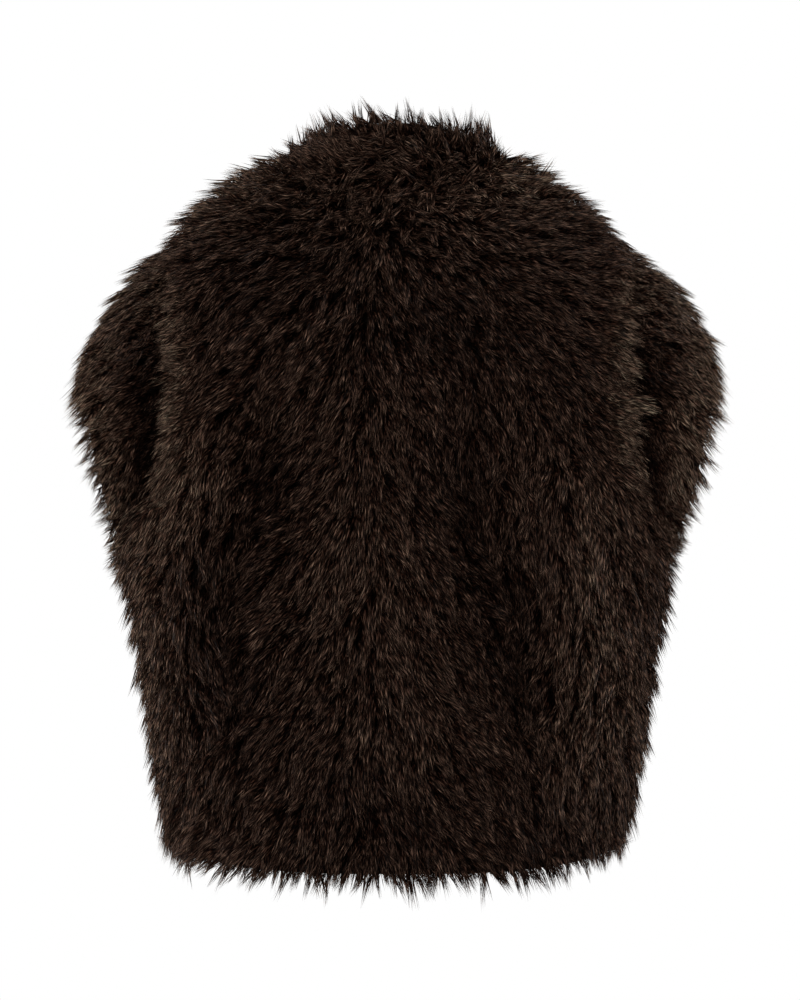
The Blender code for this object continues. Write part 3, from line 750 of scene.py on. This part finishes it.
def pile_tree():
    """Geometry nodes that grow locks from a backing along its nap."""
    tree = bpy.data.node_groups.new("shaggy_pile", "GeometryNodeTree")
    for name, kind in PILE_INPUTS.items():
        tree.interface.new_socket(name, in_out="INPUT", socket_type=kind)
    tree.interface.new_socket("Pile", in_out="OUTPUT", socket_type="NodeSocketGeometry")
    nodes = Wire(tree)
    given = nodes.node("NodeGroupInput")
    seed = given.out("Seed")

    def random(low, high, step, kind="FLOAT"):
        """A number of its own for each lock, from the seed and a step."""
        place, out = {"FLOAT": (2, 1), "INT": (4, 2)}[kind]  # of the low number, and of what comes out
        sockets = {place: low, place + 1: high, "Seed": seed + step}
        return nodes.node("FunctionNodeRandomValue", {"data_type": kind}, sockets, out)

    def named(name, kind="FLOAT"):
        """What the bed or the pile has by a name."""
        return nodes.node("GeometryNodeInputNamedAttribute", {"data_type": kind}, {"Name": name})

    def store(geometry, domain, name, value, kind="FLOAT"):
        """Gives the pile something by a name."""
        sockets = {"Geometry": geometry, "Name": name, "Value": value}
        return nodes.node("GeometryNodeStoreNamedAttribute", {"data_type": kind, "domain": domain}, sockets)

    def wander(size, scale, detail):
        """A vector that changes smoothly from place to place, about zero."""
        place = nodes.node("GeometryNodeInputPosition")
        grain = {"Vector": place, "Scale": given.out(scale), "Detail": detail}
        noise = nodes.node("ShaderNodeTexNoise", None, grain, "Color")
        return nodes.vector("SCALE", nodes.vector("SUBTRACT", noise, (0.5, 0.5, 0.5)), size)

    spread = {"Mesh": given.out("Backing"), "Distance Min": given.out("Spacing"), "Seed": seed}
    spread["Density Max"] = given.out("Locks per square metre")
    roots = nodes.node("GeometryNodeDistributePointsOnFaces", {"distribute_method": "POISSON"}, spread)
    normal = roots.out("Normal")

    place = nodes.node("GeometryNodeInputPosition")
    cells = {"Vector": place, "Scale": given.out("Tufts per metre")}
    middle = nodes.node("ShaderNodeTexVoronoi", None, cells, "Position")
    tuft_length, tuft_turn, tuft_tone = middle.out("Color").parts()
    there = nodes.vector("SUBTRACT", middle, place)
    there = nodes.vector("SUBTRACT", there, nodes.vector("PROJECT", there, normal))
    gather = nodes.vector("SCALE", there, given.out("Gather"))
    points = store(roots, "POINT", "gather", gather, "FLOAT_VECTOR")

    swirl, _, _ = wander(given.out("Swirl"), "Swirl scale", detail=1.0).parts()
    angle = random(-1.0, 1.0, step=1) * named("mess") + (tuft_turn - 0.5) * (2 * TUFT_TURN) + swirl
    turned = {"Vector": named("nap", "FLOAT_VECTOR"), "Axis": normal, "Angle": angle}
    nap = nodes.node("ShaderNodeVectorRotate", {"rotation_type": "AXIS_ANGLE"}, turned)
    axes = {"primary_axis": "Z", "secondary_axis": "Y"}
    ways = {"Primary Axis": normal, "Secondary Axis": nap}
    facing = nodes.node("FunctionNodeAxesToRotation", axes, ways)
    length = random(*LOCK_LENGTHS, step=2) + TUFT_LENGTHS * tuft_length
    rise = TUFT_STAND + TUFT_STAND_MORE * tuft_tone
    stand = nodes.node("ShaderNodeCombineXYZ", None, {0: 1.0, 1: 1.0, 2: rise})
    size = nodes.vector("MULTIPLY", nodes.vector("SCALE", named("growth", "FLOAT_VECTOR"), length), stand)

    collection = {"Collection": given.out("Locks"), "Separate Children": True, "Reset Children": True}
    locks = nodes.node("GeometryNodeCollectionInfo", None, collection)
    placed = {"Points": points, "Instance": locks, "Pick Instance": True, "Rotation": facing, "Scale": size}
    placed["Instance Index"] = random(0, LOCK_SHAPES - 1, step=3, kind="INT")
    grown = nodes.node("GeometryNodeInstanceOnPoints", None, placed)
    # the shade of the place adds painted light and painted shade to the lock's tone
    lock_tone = random(0.0, LOCK_TONES, step=4) + tuft_tone * TUFT_TONES + named("shade") * PLACE_TONES
    toned = store(grown, "INSTANCE", "tone", lock_tone)
    hairs = nodes.node("GeometryNodeRealizeInstances", None, {"Geometry": toned})

    across, along, _ = named("OFBake", "FLOAT_VECTOR").parts()
    moved = nodes.node("ShaderNodeCombineXYZ", None, {0: across + named("tone"), 1: along})
    hairs = store(hairs, "CORNER", "OFBake", moved, "FLOAT2")
    share = along**HAIR_WANDER
    stray = wander(given.out("Stray") * share, "Stray scale", detail=2.0)
    felted = between(FELT_DARK, FELT_LIGHT, named("shade"))
    frizz = wander(given.out("Frizz") * share * felted, "Frizz scale", detail=1.0)
    inward = {0: named("gather", "FLOAT_VECTOR"), 1: share, 2: nodes.vector("ADD", stray, frizz)}
    offset = nodes.node("ShaderNodeVectorMath", {"operation": "MULTIPLY_ADD"}, inward)
    hairs = nodes.node("GeometryNodeSetPosition", None, {"Geometry": hairs, "Offset": offset})
    hairs = nodes.node("GeometryNodeSetMaterial", None, {"Geometry": hairs, "Material": given.out("Pile")})
    nodes.node("NodeGroupOutput", None, {0: hairs})
    return tree


def link(name, data):
    """A new object in the scene."""
    piece = bpy.data.objects.new(name, data)
    bpy.context.scene.collection.objects.link(piece)
    return piece


def finished_mesh(piece):
    """The mesh that a piece's modifiers make of it."""
    depsgraph = bpy.context.evaluated_depsgraph_get()
    return bpy.data.meshes.new_from_object(piece.evaluated_get(depsgraph))


def make_backing(name, panel, material):
    """A panel's knitted backing: a thin closed shell on the inside of the wall."""
    mesh = grid_mesh(name, panel.points, panel.closed, panel.flip)
    across = so_far(steps_of(panel.points, 1).mean(axis=0))
    along = so_far(steps_of(panel.points, 0).mean(axis=1))
    add_map(mesh, "cloth", [(u, v) for v in along for u in across])
    mesh.shade_smooth()
    mesh.materials.append(material)
    piece = link(name, mesh)
    thick = piece.modifiers.new("thickness", "SOLIDIFY")
    thick.thickness = BACKING
    thick.offset = 1.0
    thick.use_even_offset = False
    piece.data = finished_mesh(piece)
    piece.modifiers.clear()
    return piece


BED_FIELDS = {"nap": "FLOAT_VECTOR", "growth": "FLOAT_VECTOR", "shade": "FLOAT", "mess": "FLOAT"}


class Bed:
    """What pile grows from: a grid of points and normals with the nap, growth, shade and mess at each."""

    def __init__(self, parts, closed=False, flip=False):
        shape = parts["points"].shape[:2]
        self.parts = {}
        for word, values in parts.items():
            self.parts[word] = np.broadcast_to(values, (*shape, *values.shape[2:]))
        self.closed = closed
        self.flip = flip

    @classmethod
    def on(cls, panel, nap, growth, shade, mess=MESS):
        """The bed on the outside of a panel's backing."""
        parts = {"points": panel.points + panel.normals * BACKING, "normals": panel.normals, "nap": nap}
        parts.update({"growth": growth, "shade": np.atleast_2d(shade), "mess": np.atleast_2d(mess)})
        return cls(parts, panel.closed, panel.flip)

    def roll(self, axis, at_end, length, lift=ROLL_LIFT, inset=ROLL_INSET):
        """The bed round a cut edge, a small roll: of the first or last row (axis 0) or column (axis 1)."""
        lines = {word: np.moveaxis(values, axis, 0) for word, values in self.parts.items()}
        edge, inside = (-1, -2) if at_end else (0, 1)
        points, normals, nap = (lines[word][edge] for word in ("points", "normals", "nap"))
        out = laid(points - lines["points"][inside], normals)
        rolled = {word: [] for word in lines}
        for turn in np.radians(ROLL_TURNS):
            facing = math.cos(turn) * normals + math.sin(turn) * out
            over = ROLL * math.sin(turn) - inset
            rolled["points"].append(points + over * out + ROLL * (math.cos(turn) - 1) * normals)
            rolled["normals"].append(facing)
            rolled["nap"].append(laid(nap - ROLL_IN * normals, facing))
            rolled["growth"].append(growth_shares(length * lines["growth"][edge][..., 0], lift))
            rolled["shade"].append(lines["shade"][edge])
            rolled["mess"].append(lines["mess"][edge])
        order = 1 if at_end else -1
        parts = {word: np.moveaxis(np.array(values[::order]), 0, axis) for word, values in rolled.items()}
        return Bed(parts, self.closed and axis == 0, self.flip)

    def columns(self, first, last):
        """A run of the bed's columns."""
        parts = {word: values[:, first : last + 1] for word, values in self.parts.items()}
        return Bed(parts, False, self.flip)

    def mesh(self, name):
        """The bed as a mesh, with what the pile needs to know at each point."""
        mesh = grid_mesh(name, self.parts["points"], self.closed, self.flip)
        for word, kind in BED_FIELDS.items():
            attribute = mesh.attributes.new(word, kind, "POINT")
            field = "vector" if kind == "FLOAT_VECTOR" else "value"
            attribute.data.foreach_set(field, self.parts[word].astype(np.float32).ravel())
        return mesh


def grow_pile(name, bed, sizes):
    """The pile of a bed as one mesh of hairs."""
    piece = link(name, bed.mesh(name))
    grower = piece.modifiers.new("pile", "NODES")
    grower.node_group = PILE_TREE
    inputs = {"Locks": LOCKS, "Pile": PILE, **sizes}
    for item in PILE_TREE.interface.items_tree:
        if item.in_out == "INPUT" and item.name in inputs:
            grower[item.identifier] = inputs[item.name]
    piece.data = finished_mesh(piece)
    piece.modifiers.clear()
    for word in (*BED_FIELDS, "tone", "gather"):
        spare = piece.data.attributes.get(word)
        if spare:
            piece.data.attributes.remove(spare)
    return piece


def leaning(lean, right):
    """Directions that lean from straight down towards a side, by degrees."""
    turn = np.radians(lean)[..., None]
    return np.cos(turn) * DOWN + np.sin(turn) * np.asarray(right)


def back_nap(panel):
    """The nap of the back, parted down the middle and combed as the table says."""
    x, z = panel.points[..., 0], panel.points[..., 2]
    stations = -np.array(COMB_STATIONS)
    heights = np.array([height for height, _ in BACK_COMB])
    columns = np.array([np.interp(-x, stations, leans) for _, leans in BACK_COMB])
    place = np.interp(z, heights[::-1], np.arange(len(heights))[::-1])
    low = np.clip(np.floor(place).astype(int), 0, len(heights) - 2)
    part = place - low
    rows, cols = np.indices(x.shape)
    lean = columns[low, rows, cols] * (1 - part) + columns[low + 1, rows, cols] * part
    return laid(leaning(lean, (-1.0, 0.0, 0.0)), panel.normals)


def front_nap(panel, side):
    """The nap of a front: down, and out from the centre line."""
    return laid(leaning(by_height(FRONT_LEANS, panel.points), (side, 0.0, 0.0)), panel.normals)


def sleeve_nap(panel):
    """The nap of a sleeve: out along it, drooping."""
    droop = by_height(SLEEVE_DROOPS, panel.points)[..., None]
    return laid(panel.along + droop * DOWN, panel.normals)


def collar_nap(panel):
    """The nap of the collar: to the wearer's left and down at its foot, and up at its top edge."""
    x = panel.points[..., 0]
    rise = np.linspace(0, 1, panel.points.shape[0])[:, None]
    low, top = (np.interp(x, COLLAR_PLACES, leans) for leans in (COLLAR_LEANS_LOW, COLLAR_LEANS_TOP))
    turn = np.radians(low * (1 - rise) + top * rise)[..., None]
    return laid(np.cos(turn) * panel.along + np.sin(turn) * panel.across, panel.normals)


def growth_shares(length, lift):
    """A pile's length and its lift in degrees, as shares of a lock's own width, reach and rise."""
    lift, made = np.radians(lift), math.radians(LIFT)
    lift = np.broadcast_to(lift, np.shape(length))
    shares = (np.ones_like(lift), np.cos(lift) / math.cos(made), np.sin(lift) / math.sin(made))
    return np.stack(shares, axis=-1) * length[..., None]


def nearness(points, line, reach):
    """1 on a line of points and 0 from reach away."""
    off = np.linalg.norm(points[:, :, None] - line.reshape(-1, 3), axis=-1).min(axis=-1)
    return np.clip(1 - off / reach, 0, 1)


def seam_nearness(panel, line, reach):
    """How much the pile shows that an armhole seam is near."""
    return nearness(panel.points, line, reach) * by_height(SEAM_SHOWS, panel.points)


def growth_of(panel, folds, edge, edge_length, seam=0.0, seam_length=1.0, lift_more=0.0, width=1.0):
    """How long and how steep the pile is over a panel, from its folds, its cut edge and its armhole seam."""
    points = panel.points
    near = nearness(points, edge, EDGE_REACH)
    length = between(1, edge_length, near) * between(1, seam_length, seam)
    depth = np.array([[-fold_height(folds, x, z) for x, _, z in row] for row in points])
    lift = LIFT + LIFT_IN_TROUGH * np.clip(depth / DEEP_TROUGH, 0, 1) - EDGE_DROP * near + lift_more
    for press in PRESSES:
        off = points - np.array((press.x, press.y, press.z))
        share = np.exp(-np.sum(off * off, axis=-1) / press.reach**2)
        length = length * between(1, press.length, share)
        lift = lift + press.lift * share
    return growth_shares(length, lift) * (width, 1.0, 1.0)


def shade_of(panel, patches):
    """How light the pile is over a panel, from 0 to 1: painted light and painted shade from the patches."""
    shade = np.full(panel.points.shape[:2], PLAIN_SHADE)
    for patch in patches:
        off_x = (panel.points[..., 0] - patch.x) / patch.half_width
        off_z = (panel.points[..., 2] - patch.z) / patch.half_height
        shade += patch.shade * np.exp(-off_x * off_x - off_z * off_z)
    return np.clip(shade, 0, 1)


def add_light(lamp):
    """A soft square light at its place, turned to its aim."""
    area = bpy.data.lights.new(lamp.name, "AREA")
    area.shape = "SQUARE"
    area.size = lamp.size
    area.energy = lamp.power
    light = link(lamp.name, area)
    light.location = lamp.place
    way = Vector(lamp.aim) - Vector(lamp.place)
    light.rotation_euler = way.to_track_quat("-Z", "Y").to_euler()


def make_floor():
    """A plain pale floor."""
    floor_mesh = bpy.data.meshes.new("floor")
    signs = ((-1, -1), (1, -1), (1, 1), (-1, 1))
    corners = [(x * FLOOR_HALF, y * FLOOR_HALF, FLOOR_Z) for x, y in signs]
    floor_mesh.from_pydata(corners, [], [(0, 1, 2, 3)])
    material, nodes, shader = new_material("pale_floor")
    grain = nodes.node("ShaderNodeTexNoise", None, {"Scale": FLOOR_GRAIN, "Detail": FLOOR_DETAIL})
    colour = nodes.node("ShaderNodeValToRGB", {"stops": FLOOR_COLOURS}, {"Fac": grain})
    join(colour, shader, "Base Color")
    shader.inputs["Roughness"].default_value = FLOOR_ROUGH
    floor_mesh.materials.append(material)
    link("floor", floor_mesh)


def make_surround():
    """A white surround, which lights the vest less than it shows."""
    world = bpy.data.worlds.new("white_surround")
    world.use_nodes = True
    nodes = Wire(world.node_tree)
    world.node_tree.nodes.clear()
    seen = nodes.node("ShaderNodeLightPath", None, None, "Is Camera Ray")
    strength = between(SURROUND_LIGHT, 1, seen)
    sky = nodes.node("ShaderNodeBackground", None, {"Color": (1.0, 1.0, 1.0, 1.0), "Strength": strength})
    nodes.node("ShaderNodeOutputWorld", None, {"Surface": sky})
    bpy.context.scene.world = world


def make_camera():
    """The camera behind the vest."""
    lens = bpy.data.cameras.new("camera")
    lens.sensor_fit = "VERTICAL"
    lens.sensor_height = SENSOR_HEIGHT
    lens.lens = SENSOR_HEIGHT * CAMERA_DISTANCE / FRAME_HEIGHT
    camera = link("camera", lens)
    camera.location = (CAMERA_X, CAMERA_DISTANCE, CAMERA_Z)
    camera.rotation_euler = (math.pi / 2, 0, math.pi)
    bpy.context.scene.camera = camera
    bpy.context.scene.view_settings.view_transform = "Standard"


Cut = namedtuple("Cut", "width length area")


def cut_of(panel):
    """The size of a whole cut piece, laid flat."""
    points = panel.points
    if panel.closed:
        points = np.concatenate([points, points[:, :1]], axis=1)
    width = steps_of(points, 1).sum(axis=1).max()
    length = steps_of(points, 0).sum(axis=0).max()
    a, b = points[1:, 1:] - points[:-1, :-1], points[1:, :-1] - points[:-1, 1:]
    area = np.linalg.norm(np.cross(a, b), axis=-1).sum() / 2
    return Cut(width, length, area)


def dress(node, panel, beds, rolls):
    """Covers a solid with its backing and its pile, from named beds and the named rolls of its edges."""
    backing = make_backing(f"{node}_backing", panel, KNIT)
    sown = SOWINGS[node]
    plain = {**PILE_SIZES, "Spacing": sown.spacing, "Gather": sown.gather}
    plain["Locks per square metre"] = sown.density
    piles = []
    for word, bed in {**beds, **rolls}.items():
        name = f"{node}_{word}"
        sizes = {**plain, "Seed": sown.seed + len(piles)}
        if word in rolls:
            sizes.update(ROLL_SIZES)
        sizes.update(OWN_SIZES.get(word, {}))
        sizes.update(OWN_SIZES.get(name, {}))
        piles.append(grow_pile(name, bed, sizes))
    for piece in (backing, *piles):
        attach(piece, "root")
        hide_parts(node)
    cut = cut_of(panel)


def fringe_bed(panel, side, length):
    """The strip of the back along one armhole seam, where long pile, painted light, hangs out over the
    sleeve.
    """
    first, last = (UNDERARM_ROW + row for row in FRINGE_ROWS)
    near, far = FRINGE_COLUMNS
    columns = slice(near, far + 1) if side > 0 else slice(-far - 1, -near)
    strip = Panel(panel.points[first : last + 1, columns])
    growth = growth_shares(length * by_height(FRINGE_LENGTHS, strip.points), LIFT + FRINGE_LIFT)
    droop = by_height(FRINGE_DROOPS, strip.points)[..., None]
    nap = laid(np.array((side, 0.0, 0.0)) + droop * DOWN, strip.normals)
    return Bed.on(strip, nap, growth, FRINGE_SHADE)


def dress_back(panel):
    """The back: patches of painted light and shade, painted light along the armholes, rough at the neck,
    with its fringes.
    """
    points = panel.points
    seams = points[UNDERARM_ROW : TIP_ROW + 1, [0, -1]]
    near = seam_nearness(panel, seams, SEAM_REACH)
    rough = nearness(points, points[-1], NECK_REACH)
    patchy = shade_of(panel, BACK_PATCHES)
    left = np.where(points[..., 0] > 0, SEAM_LENGTH_LEFT, SEAM_LENGTH_RIGHT)
    growth = growth_of(panel, BACK_FOLDS, points[0], HEM_LENGTH, near, left, NECK_LIFT * rough)
    growth = growth * between(LENGTH_DARK, LENGTH_LIGHT, patchy[..., None])
    outward = np.sign(points[..., :1]) * np.array((1.0, 0.0, 0.0))
    turn = SEAM_TURN * near[..., None]
    nap = laid(back_nap(panel) * (1 - turn) + outward * turn, panel.normals)
    # painted light along the armhole seams, on the ridge of the back's edge
    shade = np.clip(patchy + SEAM_LIGHT * seam_nearness(panel, seams, SEAM_LIGHT_REACH), 0, 1)
    bed = Bed.on(panel, nap, growth, shade, between(MESS, NECK_MESS, rough))
    third, two_thirds = BACK_COLUMNS // 3, 2 * BACK_COLUMNS // 3
    beds = {
        "pile_left": bed.columns(0, third),
        "pile_middle": bed.columns(third, two_thirds),
        "pile_right": bed.columns(two_thirds, BACK_COLUMNS),
    }
    rolls = {"hem_pile": bed.roll(0, False, HEM_ROLL)}
    for word, fringe in FRINGES.items():
        rolls[f"{word}_fringe_pile"] = fringe_bed(panel, *fringe)
    dress("back", panel, beds, rolls)


def dress_front(word, side, panel):
    """A front: combed out from its edge, and rough at the neck."""
    growth = growth_of(panel, FRONT_FOLDS, panel.points[0], HEM_LENGTH, width=FRONT_WIDTH)
    rough = nearness(panel.points, panel.points[-1], NECK_REACH)
    mess = between(MESS, NECK_MESS_FRONT, rough)
    bed = Bed.on(panel, front_nap(panel, side), growth, shade_of(panel, ()), mess)
    rolls = {
        "hem_pile": bed.roll(0, False, HEM_ROLL),
        "edge_pile": bed.roll(1, side < 0, FRONT_ROLL, inset=0.0),
    }
    dress(f"front_{word}", panel, {"pile": bed}, rolls)


def dress_sleeve(word, panel):
    """A sleeve: short beside its seam, with painted shadow there under the back's fringe, and painted light
    at its edge.
    """
    near = seam_nearness(panel, panel.points[0], SLEEVE_SEAM_REACH)
    growth = growth_of(panel, (), panel.points[-1], SLEEVE_LENGTH, near, SLEEVE_SEAM_LENGTH)
    places, shades = zip(*SLEEVE_SHADES)
    shade = np.interp(np.linspace(0, 1, SLEEVE_ROWS + 1), places, shades)[:, None]
    shows = by_height(SLEEVE_SHOWS, panel.points)
    # painted shadow beside the seam and painted light towards the edge
    bed = Bed.on(panel, sleeve_nap(panel), growth, shade * shows + SLEEVE_LIGHT * (1 - shows))
    dress(f"sleeve_{word}", panel, {"pile": bed}, {"edge_pile": bed.roll(0, True, SLEEVE_ROLL)})


def dress_collar(panel):
    """The collar: rough all over, and steeper than the rest."""
    growth = growth_of(panel, (), panel.points[-1], COLLAR_LENGTH, lift_more=NECK_LIFT)
    mess = np.linspace(NECK_MESS, NECK_MESS_TOP, COLLAR_ROWS + 1)[:, None]
    bed = Bed.on(panel, collar_nap(panel), growth, shade_of(panel, ()), mess)
    rolls = {
        "edge_pile": bed.roll(0, True, COLLAR_ROLL, COLLAR_ROLL_LIFT),
        "left_end_pile": bed.roll(1, False, FRONT_ROLL),
        "right_end_pile": bed.roll(1, True, FRONT_ROLL),
    }
    dress("collar", panel, {"pile": bed}, rolls)


PILE_TREE = pile_tree()
LOCKS = make_locks()
PILE = pile_material()
KNIT = backing_material()
back_points = body_grid(back_places)
left_points = body_grid(front_places(1))
right_points = body_grid(front_places(-1))
dress_back(Panel(back_points))
for side, word, points in ((1, "left", left_points), (-1, "right", right_points)):
    dress_front(word, side, Panel(points))
    armhole = armhole_ring(side, back_points, points)
    dress_sleeve(word, Panel(sleeve_grid(side, armhole), closed=True, flip=side < 0))
neck = np.concatenate([left_points[-1], back_points[-1, 1:], right_points[-1, 1:]])
dress_collar(Panel(collar_grid(neck)))

for lock in list(LOCKS.objects):
    bpy.data.objects.remove(lock)
bpy.data.collections.remove(LOCKS)

make_floor()
make_surround()
for lamp in LAMPS:
    add_light(lamp)
make_camera()
